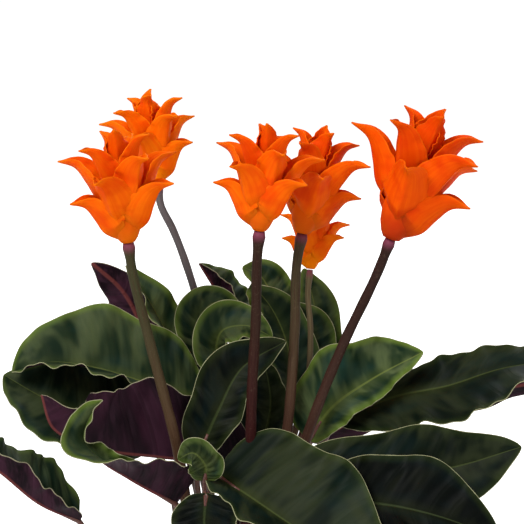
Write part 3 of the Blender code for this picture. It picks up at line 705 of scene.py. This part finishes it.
def build_pot(material):
    """The pot: a turned wall with rounded edges and a banded rim, and a ringed base with drain holes."""
    slope = (POT_TOP_RADIUS - RIM_STEP - POT_BASE_RADIUS) / POT_HEIGHT
    band_foot = POT_HEIGHT - RIM_BAND

    def outer(height):
        return POT_BASE_RADIUS + slope * height

    inside = POT_TOP_RADIUS - RIM_STEP - POT_WALL
    band = outer(band_foot)
    outline = [
        (0, 0.0007), (0.018, 0.0007), (0.0188, 0),
        (POT_BASE_RADIUS - 0.0016, 0), (POT_BASE_RADIUS - 0.0005, 0.0004),
        (outer(0.0012), 0.0015), (outer(0.040), 0.040), (outer(0.075), 0.075),
        (band - 0.0002, band_foot), (band + RIM_STEP - 0.0006, band_foot + 0.0001),
        (band + RIM_STEP, band_foot + 0.0008),
        (POT_TOP_RADIUS - 0.0003, POT_HEIGHT - 0.0016), (POT_TOP_RADIUS - 0.0008, POT_HEIGHT - 0.0004),
        (POT_TOP_RADIUS - 0.0018, POT_HEIGHT), (inside + 0.0006, POT_HEIGHT), (inside, POT_HEIGHT - 0.0008),
        (outer(0.075) - POT_WALL, 0.075), (outer(0.040) - POT_WALL, 0.040),
        (outer(POT_BASE_THICKNESS) - POT_WALL, POT_BASE_THICKNESS), (0, POT_BASE_THICKNESS),
    ]
    pot = turned_object("pot_shell", outline[::-1], POT_STEPS, material)
    for hole in range(DRAIN_HOLES):
        angle = 2 * math.pi * hole / DRAIN_HOLES
        place = (DRAIN_RING_RADIUS * math.cos(angle), DRAIN_RING_RADIUS * math.sin(angle), 0.0)
        profile = [(0, 0.004), (DRAIN_HOLE_RADIUS, 0.004), (DRAIN_HOLE_RADIUS, -0.001), (0, -0.001)]
        drill = turned_object("drill", profile, 28, material)
        for vertex in drill.data.vertices:
            vertex.co = np.array(vertex.co) + np.array(place)
        modifier = pot.modifiers.new("drain", "BOOLEAN")
        modifier.operation = "DIFFERENCE"
        modifier.solver = "MANIFOLD"
        modifier.object = drill
        bpy.context.view_layer.update()
        evaluated = pot.evaluated_get(bpy.context.evaluated_depsgraph_get())
        made = bpy.data.meshes.new_from_object(evaluated)
        pot.modifiers.clear()
        pot.data = made
        bpy.data.objects.remove(drill, do_unlink=True)
    pot.data.polygons.foreach_set("use_smooth", np.ones(len(pot.data.polygons), bool))
    pot.data.set_sharp_from_angle(angle=math.radians(38))
    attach(pot, "root")
    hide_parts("pot")


def soil_height(x, y):
    """The lumpy top of the soil at a place."""
    r = math.hypot(x, y)
    crown = SOIL_TOP + SOIL_CROWN * max(0.0, 1 - (r / 0.052) ** 2) * 0.8
    rough = 0.0011 * noise.noise((x * 140, y * 140, 0.3)) + 0.0006 * noise.noise((x * 420, y * 420, 1.7))
    return crown - 0.0008 + rough


def build_soil(material, box):
    """The soil: a plug under a lumpy top, strewn with crumbs."""
    slope = (POT_TOP_RADIUS - RIM_STEP - POT_BASE_RADIUS) / POT_HEIGHT
    low = POT_BASE_THICKNESS + 0.0005

    def inner(height):
        return POT_BASE_RADIUS + slope * height - POT_WALL - 0.0004

    turn = np.linspace(0, 2 * math.pi, SOIL_STEPS, endpoint=False)
    rows = []
    for radius in np.linspace(1e-5, inner(SOIL_TOP) - 0.0004, SOIL_RINGS):
        ring = [(radius * math.cos(a), radius * math.sin(a)) for a in turn]
        rows.append([(x, y, soil_height(x, y)) for x, y in ring])
    for height in (SOIL_TOP - 0.002, 0.050, low):
        radius = inner(height)
        rows.append([(radius * math.cos(a), radius * math.sin(a), height) for a in turn])
    rows.append([(1e-5 * math.cos(a), 1e-5 * math.sin(a), low) for a in turn])
    grid = np.array(rows)
    shape = Shape()
    plan = np.zeros(grid.shape)
    first = shape.add_places(grid, plan, plan)
    shape.add_faces(grid_faces(first, len(rows), SOIL_STEPS, wrap=True), 0)
    draw = random.Random(11)
    for _ in range(CRUMBS):
        add_crumb(shape, draw)
    piece = shape.build("soil_crumb", [material], box)
    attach(piece, "root")
    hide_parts("soil")


def add_crumb(shape, draw):
    """One lump of peat or bark lying on the soil."""
    radius = 0.051 * math.sqrt(draw.random())
    angle = draw.random() * 2 * math.pi
    x, y = radius * math.cos(angle), radius * math.sin(angle)
    size = 0.0007 + 0.0019 * draw.random() ** 3
    stretch = np.array([1.0 + draw.random(), 0.7 + 0.5 * draw.random(), 0.45 + 0.4 * draw.random()])
    spin = draw.random() * math.pi
    polar = np.linspace(0.02, math.pi - 0.02, CRUMB_RINGS)
    turn = np.linspace(0, 2 * math.pi, CRUMB_SIDES, endpoint=False)
    ball = np.stack([
        np.sin(polar)[:, None] * np.cos(turn), np.sin(polar)[:, None] * np.sin(turn),
        np.cos(polar)[:, None] * np.ones(CRUMB_SIDES),
    ], axis=-1)
    lumps = np.array([[0.75 + 0.5 * draw.random() for _ in turn] for _ in polar])
    ball = ball * lumps[..., None] * stretch * size
    turned = np.array([[math.cos(spin), math.sin(spin), 0], [-math.sin(spin), math.cos(spin), 0], [0, 0, 1]])
    grid = ball @ turned + np.array([x, y, soil_height(x, y) + size * 0.25])
    plan = np.zeros(grid.shape)
    plan[..., 2] = draw.random() * 50
    first = shape.add_places(grid, plan, plan * 0 + draw.random())
    shape.add_faces(grid_faces(first, CRUMB_RINGS, CRUMB_SIDES, wrap=True, flip=True), 0)


class Graph:
    """Builds a material's nodes with short calls."""

    def __init__(self, name):
        self.material = bpy.data.materials.new(name)
        self.material.use_nodes = True
        self.tree = self.material.node_tree
        self.shader = self.tree.nodes["Principled BSDF"]

    def node(self, kind, **settings):
        made = self.tree.nodes.new(kind)
        for key, value in settings.items():
            setattr(made, key, value)
        return made

    def feed(self, socket, value):
        if isinstance(value, bpy.types.NodeSocket):
            self.tree.links.new(value, socket)
        else:
            socket.default_value = value

    def math(self, operation, a, b=0.0):
        made = self.node("ShaderNodeMath", operation=operation)
        self.feed(made.inputs[0], a)
        self.feed(made.inputs[1], b)
        return made.outputs[0]

    def times(self, a, b):
        return self.math("MULTIPLY", a, b)

    def plus(self, a, b):
        return self.math("ADD", a, b)

    def scale(self, value, low, high, to_low=0.0, to_high=1.0, smooth=True):
        """The value carried from one range to another, and held at its ends."""
        kind = "SMOOTHSTEP" if smooth else "LINEAR"
        made = self.node("ShaderNodeMapRange", interpolation_type=kind)
        for socket, number in zip(made.inputs, (value, low, high, to_low, to_high)):
            self.feed(socket, number)
        return made.outputs[0]

    def mix(self, factor, a, b):
        made = self.node("ShaderNodeMix", data_type="RGBA")
        self.feed(made.inputs[0], factor)
        for socket, colour in ((made.inputs[6], a), (made.inputs[7], b)):
            self.feed(socket, colour if isinstance(colour, bpy.types.NodeSocket) else (*colour, 1.0))
        return made.outputs[2]

    def tint(self, colour, other, value, low, high, share=1.0):
        """The colour, with up to this share of the other mixed in as the value goes from low to high."""
        return self.mix(self.times(self.scale(value, low, high), share), colour, other)

    def noise(self, vector, scale, detail, roughness=0.55):
        made = self.node("ShaderNodeTexNoise")
        self.feed(made.inputs["Vector"], vector)
        made.inputs["Scale"].default_value = scale
        made.inputs["Detail"].default_value = detail
        made.inputs["Roughness"].default_value = roughness
        return made.outputs[0]

    def streaks(self, first, first_scale, second, second_scale, seed, detail):
        """Noise that changes at its own rate in each of two directions over a piece."""
        place = self.vector(self.times(first, first_scale), self.times(second, second_scale), seed)
        return self.noise(place, 1.0, detail)

    def parts(self, label):
        """The three numbers that each place of a piece carries under this label."""
        attribute = self.node("ShaderNodeAttribute", attribute_name=label)
        split = self.node("ShaderNodeSeparateXYZ")
        self.feed(split.inputs[0], attribute.outputs["Vector"])
        return split.outputs[0], split.outputs[1], split.outputs[2]

    def vector(self, x, y, z):
        made = self.node("ShaderNodeCombineXYZ")
        for socket, value in zip(made.inputs, (x, y, z)):
            self.feed(socket, value)
        return made.outputs[0]

    def coordinates(self):
        return self.node("ShaderNodeTexCoord").outputs["Object"]

    def settings(self, values):
        for name, value in values.items():
            self.shader.inputs[name].default_value = value

    def finish(self, colour, roughness, height, distance, strength):
        """The material, with this colour and roughness, and bumps of this height (metres) and strength."""
        self.feed(self.shader.inputs["Base Color"], colour)
        self.feed(self.shader.inputs["Roughness"], roughness)
        bump = self.node("ShaderNodeBump")
        bump.inputs["Strength"].default_value = strength
        bump.inputs["Distance"].default_value = distance
        self.feed(bump.inputs["Height"], height)
        self.feed(self.shader.inputs["Normal"], bump.outputs[0])
        return self.material


def leaf_pattern(graph):
    """What both faces share: broad and fine bands beside the side veins, soft clouds that place a painted
    sheen, and the vein lines.
    """
    across, along, seed = graph.parts("plan")
    wave = graph.math("SINE", graph.times(along, 2 * math.pi * VEINS))
    return SimpleNamespace(
        along=along,
        broad=graph.streaks(along, 8.0, across, 0.9, seed, 2.0),
        fine=graph.streaks(along, 34.0, across, 2.2, seed, 2.0),
        cloud=graph.streaks(along, 3.0, across, 1.4, seed, 2.0),
        wave=wave,
        veins=graph.scale(wave, 0.80, 1.0),
    )


def upper_leaf_material():
    """The green face: vein-wise bands from near black to mid green, a painted blue-green sheen, a painted
    glow of backlight along the margin, a pale midrib and a thin cream margin.
    """
    graph = Graph("leaf_upper")
    pattern = leaf_pattern(graph)
    inward, outward, tone = graph.parts("span")
    # The tone darkens each colour below: partly a painted shade, partly the leaf's own lightness.
    dark = graph.mix(tone, (0.0008, 0.0016, 0.0012), (0.010, 0.028, 0.012))
    light = graph.mix(tone, (0.0052, 0.0064, 0.0036), (0.092, 0.124, 0.048))
    painted_sheen_blue_green = graph.mix(tone, (0.0020, 0.0075, 0.0080), (0.014, 0.050, 0.045))
    beside_midrib = graph.mix(tone, (0.016, 0.021, 0.006), (0.15, 0.19, 0.030))
    midrib = graph.mix(tone, (0.040, 0.055, 0.018), (0.20, 0.24, 0.05))
    # The colour of a painted glow of backlight through the thin margin.
    painted_backlit_margin = (0.12, 0.18, 0.022)
    cream = (0.27, 0.27, 0.15)
    colour = graph.mix(graph.scale(pattern.broad, 0.42, 0.61), dark, light)
    # A painted blue-green sheen, laid on in soft clouds.
    colour = graph.tint(colour, painted_sheen_blue_green, pattern.cloud, 0.48, 0.66, 0.45)
    colour = graph.tint(colour, light, pattern.wave, -1.0, 1.0, 0.16)
    colour = graph.tint(colour, dark, pattern.fine, 0.42, 0.75, 0.20)
    # A painted glow of backlight through the thin margin, stronger on lighter leaves.
    backlit_glow_share = graph.times(graph.scale(outward, 5.0, 0.0), graph.scale(tone, 0.1, 0.7, 0.07, 0.75))
    colour = graph.mix(backlit_glow_share, colour, painted_backlit_margin)
    glow_share = graph.times(graph.scale(inward, 6.5, 0.0), graph.scale(pattern.along, 1.0, 0.2, 0.05, 0.45))
    colour = graph.mix(glow_share, colour, beside_midrib)
    rib_width = graph.scale(pattern.along, 0.0, 1.0, 1.15, 0.25, smooth=False)
    rib = graph.scale(graph.math("DIVIDE", inward, rib_width), 1.4, 0.4)
    colour = graph.mix(graph.times(rib, 0.50), colour, midrib)
    colour = graph.tint(colour, cream, outward, 0.42, 0.18)
    height = graph.plus(graph.times(pattern.fine, 0.08), graph.times(pattern.veins, -0.7))
    roughness = graph.scale(pattern.fine, 0.2, 0.8, 0.48, 0.54)
    graph.settings({
        "Specular IOR Level": 0.05,
        "Sheen Weight": 0.008,
        "Sheen Roughness": 0.45,
        "Sheen Tint": (0.35, 0.62, 0.60, 1.0),
    })
    return graph.finish(colour, roughness, height, distance=0.00035, strength=0.28)


def lower_leaf_material():
    """The underside: maroon-purple with darker bands, reddish ribs and the same cream margin."""
    graph = Graph("leaf_under")
    pattern = leaf_pattern(graph)
    inward, outward, _ = graph.parts("span")
    dark = (0.005, 0.0018, 0.0034)
    purple = (0.030, 0.0085, 0.0175)
    dusty = (0.060, 0.024, 0.040)
    vein = (0.012, 0.004, 0.007)
    midrib = (0.13, 0.032, 0.028)
    cream = (0.27, 0.24, 0.16)
    colour = graph.mix(graph.scale(pattern.broad, 0.34, 0.68), dark, purple)
    colour = graph.tint(colour, dusty, pattern.fine, 0.4, 0.8, 0.30)
    colour = graph.mix(graph.times(pattern.veins, 0.35), colour, vein)
    colour = graph.tint(colour, midrib, inward, 1.6, 0.5, 0.8)
    colour = graph.tint(colour, cream, outward, 0.45, 0.20)
    height = graph.plus(graph.times(pattern.fine, 0.3), graph.times(pattern.veins, 0.9))
    roughness = graph.scale(pattern.fine, 0.2, 0.8, 0.50, 0.66)
    graph.settings({
        "Specular IOR Level": 0.06,
        "Sheen Weight": 0.025,
        "Sheen Tint": (0.75, 0.55, 0.68, 1.0),
    })
    return graph.finish(colour, roughness, height, distance=0.00035, strength=0.45)


def leaf_stalk_material():
    """A leaf's stalk: green-brown to wine red, with fine lengthwise streaks."""
    graph = Graph("leaf_stalk")
    around, climb, seed = graph.parts("plan")
    green_brown = (0.085, 0.060, 0.020)
    wine_red = (0.13, 0.038, 0.028)
    dark = (0.050, 0.016, 0.014)
    streaks = graph.streaks(around, 6.0, climb, 3.0, seed, 3.0)
    colour = graph.mix(climb, green_brown, wine_red)
    colour = graph.tint(colour, dark, streaks, 0.35, 0.75)
    roughness = graph.scale(streaks, 0.2, 0.8, 0.38, 0.6)
    return graph.finish(colour, roughness, streaks, distance=0.0002, strength=0.5)


def flower_stem_material(name, foot_colour, top_colour):
    """A flower stem: one colour blending to another up it, fine streaks and a pink-purple collar."""
    graph = Graph(name)
    around, climb, seed = graph.parts("plan")
    shade = tuple(value * 0.5 for value in foot_colour)
    pale = (0.20, 0.14, 0.09)
    collar = (0.22, 0.045, 0.085)
    streaks = graph.streaks(around, 5.0, climb, 14.0, seed, 4.0)
    specks = graph.noise(graph.coordinates(), 900.0, 2.0)
    colour = graph.mix(graph.scale(climb, 0.30, 0.9), foot_colour, top_colour)
    colour = graph.tint(colour, shade, streaks, 0.4, 0.7, 0.6)
    colour = graph.tint(colour, pale, specks, 0.55, 0.75, 0.12)
    colour = graph.tint(colour, collar, climb, 0.955, 0.985, 0.75)
    height = graph.plus(streaks, graph.times(specks, 0.4))
    graph.settings({"Specular IOR Level": 0.09})
    roughness = graph.scale(streaks, 0.2, 0.8, 0.45, 0.62)
    return graph.finish(colour, roughness, height, distance=0.0002, strength=0.4)


def between(low, high, share):
    """A colour at the share of the way from the low one to the high one."""
    return tuple(a + (b - a) * share for a, b in zip(low, high))


def bract_material(name, inner_face, redness):
    """A bract: orange with deeper patches and lengthwise ribs, deeper red on the upper bracts, painted shade
    down into the cup, and a foot that runs from yellow to a red-brown painted shadow as the redness rises.
    """
    graph = Graph(name)
    across, along, seed = graph.parts("plan")
    _, outward, climb = graph.parts("span")
    orange = between((0.88, 0.130, 0.0002), (0.72, 0.062, 0.0002), redness)
    # A deeper red: for random patches, for the upper bracts, and as painted shade on the inner face.
    deep = between((0.76, 0.042, 0.0002), (0.58, 0.014, 0.0002), redness)
    # The foot's colour: yellow on a yellowish head, and on a red head a painted shadow of dark red-brown.
    foot_colour = between((0.94, 0.230, 0.0006), (0.30, 0.022, 0.0040), redness)
    edge = between((0.98, 0.250, 0.0040), (0.86, 0.150, 0.0020), redness)
    ribs = graph.streaks(across, 9.0, along, 1.2, seed, 3.0)
    patches = graph.noise(graph.coordinates(), 75.0, 2.0)
    colour = graph.mix(graph.scale(ribs, 0.3, 0.75), orange, between(orange, edge, 0.4))
    colour = graph.tint(colour, deep, patches, 0.42, 0.70, 0.55)
    if inner_face:
        # Painted shade: the inner face darkens down into the cup, towards its foot.
        colour = graph.tint(colour, deep, along, 0.62, 0.15, 0.60)
    else:
        # The lower bracts' feet take the foot's colour, which on red heads is a painted shadow.
        foot_share = graph.times(graph.scale(along, 0.42, 0.05), graph.scale(climb, 0.5, 0.0))
        colour = graph.mix(graph.times(foot_share, 0.7), colour, foot_colour)
        colour = graph.tint(colour, deep, climb, 0.2, 0.9, 0.30)
    colour = graph.tint(colour, edge, along, 0.80, 1.0, 0.35)
    colour = graph.tint(colour, edge, outward, 1.1, 0.1, 0.35)
    graph.settings({
        "Subsurface Weight": 0.15,
        "Subsurface Radius": (0.9, 0.28, 0.05),
        "Subsurface Scale": 0.003,
        "Specular IOR Level": 0.03,
    })
    roughness = graph.scale(ribs, 0.2, 0.8, 0.48, 0.64)
    return graph.finish(colour, roughness, ribs, distance=0.0003, strength=0.45)


def soil_material():
    """Moist potting soil: dark brown with paler flecks of bark and sand."""
    graph = Graph("soil_mix")
    place = graph.coordinates()
    coarse = graph.noise(place, 260.0, 5.0)
    flecks = graph.noise(place, 1400.0, 2.0)
    colour = graph.mix(graph.scale(coarse, 0.35, 0.68), (0.012, 0.008, 0.005), (0.058, 0.036, 0.021))
    colour = graph.mix(graph.scale(flecks, 0.66, 0.74), colour, (0.20, 0.14, 0.085))
    height = graph.plus(coarse, graph.times(flecks, 0.5))
    roughness = graph.scale(coarse, 0.3, 0.7, 0.75, 0.95)
    return graph.finish(colour, roughness, height, distance=0.0008, strength=0.8)


def pot_material():
    """Moulded terracotta-brown plastic: faint flow marks, a fine grain and slight scuffs."""
    graph = Graph("pot_moulded")
    place = graph.coordinates()
    grain = graph.noise(place, 1600.0, 2.0)
    cloud = graph.noise(place, 28.0, 4.0)
    scuff = graph.noise(place, 190.0, 6.0, 0.7)
    colour = graph.mix(graph.scale(cloud, 0.3, 0.7), (0.275, 0.088, 0.042), (0.335, 0.112, 0.054))
    colour = graph.mix(graph.times(graph.scale(scuff, 0.60, 0.78), 0.35), colour, (0.42, 0.20, 0.12))
    roughness = graph.scale(scuff, 0.35, 0.75, 0.42, 0.62)
    height = graph.plus(grain, graph.times(scuff, 0.4))
    return graph.finish(colour, roughness, height, distance=0.00012, strength=0.35)


def seen_level(tree, lighting, seen):
    """A strength that is one value where it lights things and another where it is seen itself."""
    path = tree.nodes.new("ShaderNodeLightPath")
    level = tree.nodes.new("ShaderNodeMapRange")
    level.inputs["To Min"].default_value = lighting
    level.inputs["To Max"].default_value = seen
    tree.links.new(path.outputs["Is Camera Ray"], level.inputs["Value"])
    return level.outputs["Result"]


def floor_material():
    """Plain matt white."""
    graph = Graph("floor_white")
    graph.settings({
        "Base Color": (0.92, 0.92, 0.92, 1.0),
        "Roughness": 0.9,
        "Specular IOR Level": 0.0,
        "Emission Color": (1.0, 1.0, 1.0, 1.0),
    })
    level = seen_level(graph.tree, FLOOR_LIGHTING, FLOOR_SEEN)
    graph.tree.links.new(level, graph.shader.inputs["Emission Strength"])
    return graph.material


def add_floor():
    """A pale floor that runs out past everything that the camera sees."""
    mesh = bpy.data.meshes.new("floor")
    far = FLOOR_REACH
    mesh.from_pydata([(-far, -far, 0), (far, -far, 0), (far, far, 0), (-far, far, 0)], [], [(0, 1, 2, 3)])
    mesh.materials.append(floor_material())
    floor = bpy.data.objects.new("floor", mesh)
    bpy.context.scene.collection.objects.link(floor)


def add_world():
    """White surroundings, with less of their light falling on the plant than the eye sees behind it."""
    world = bpy.data.worlds.new("studio")
    bpy.context.scene.world = world
    world.use_nodes = True
    tree = world.node_tree
    background = tree.nodes["Background"]
    background.inputs["Color"].default_value = (1.0, 1.0, 1.0, 1.0)
    level = seen_level(tree, SURROUNDINGS_LIGHTING, SURROUNDINGS_SEEN)
    tree.links.new(level, background.inputs["Strength"])


def add_light(name, place, size, power):
    """A round soft light at the place, turned to the plant."""
    data = bpy.data.lights.new(name, "AREA")
    data.shape = "DISK"
    data.size = size
    data.energy = power
    light = bpy.data.objects.new(name, data)
    light.location = place
    away = np.array(place) - np.array(LIGHT_AIM)
    turn = math.atan2(away[0], -away[1])
    tilt = math.atan2(math.hypot(away[0], away[1]), away[2])
    light.rotation_euler = (tilt, 0.0, turn)
    bpy.context.scene.collection.objects.link(light)


def add_lights():
    add_light("key", (-0.7, -1.1, 1.5), 1.0, 34)
    add_light("fill", (1.3, -0.9, 0.8), 1.2, 7)
    add_light("back", (0.5, 1.3, 1.2), 1.0, 14)


def add_camera():
    data = bpy.data.cameras.new("camera")
    data.lens = CAMERA_LENS
    data.sensor_width = SENSOR_WIDTH
    camera = bpy.data.objects.new("camera", data)
    camera.location = CAMERA_PLACE
    camera.rotation_euler = (math.radians(90 - CAMERA_DOWN), 0.0, 0.0)
    bpy.context.scene.collection.objects.link(camera)
    bpy.context.scene.camera = camera


def set_colour_view():
    bpy.context.scene.view_settings.view_transform = "Standard"
    bpy.context.scene.view_settings.look = "None"


def remove_startup_objects():
    for thing in list(bpy.data.objects):
        bpy.data.objects.remove(thing, do_unlink=True)


remove_startup_objects()
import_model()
cad_low, cad_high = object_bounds()
box = (np.array(cad_low), np.array(cad_high))
set_colour_view()
add_camera()
add_world()
add_lights()
add_floor()
leaf_materials = [upper_leaf_material(), lower_leaf_material(), leaf_stalk_material()]
for number, leaf in enumerate(LEAVES):
    build_leaf(leaf, number, leaf_materials, box)
for number, bloom in enumerate(BLOOMS):
    inner = bract_material(bloom.name + "_inner", True, bloom.redness)
    outer = bract_material(bloom.name + "_outer", False, bloom.redness)
    stem_skin = flower_stem_material(bloom.name + "_stem_skin", *bloom.stem_colours)
    build_head(bloom, number, [inner, outer], box)
    build_stem(bloom, number, stem_skin, box)
build_soil(soil_material(), box)
build_pot(pot_material())
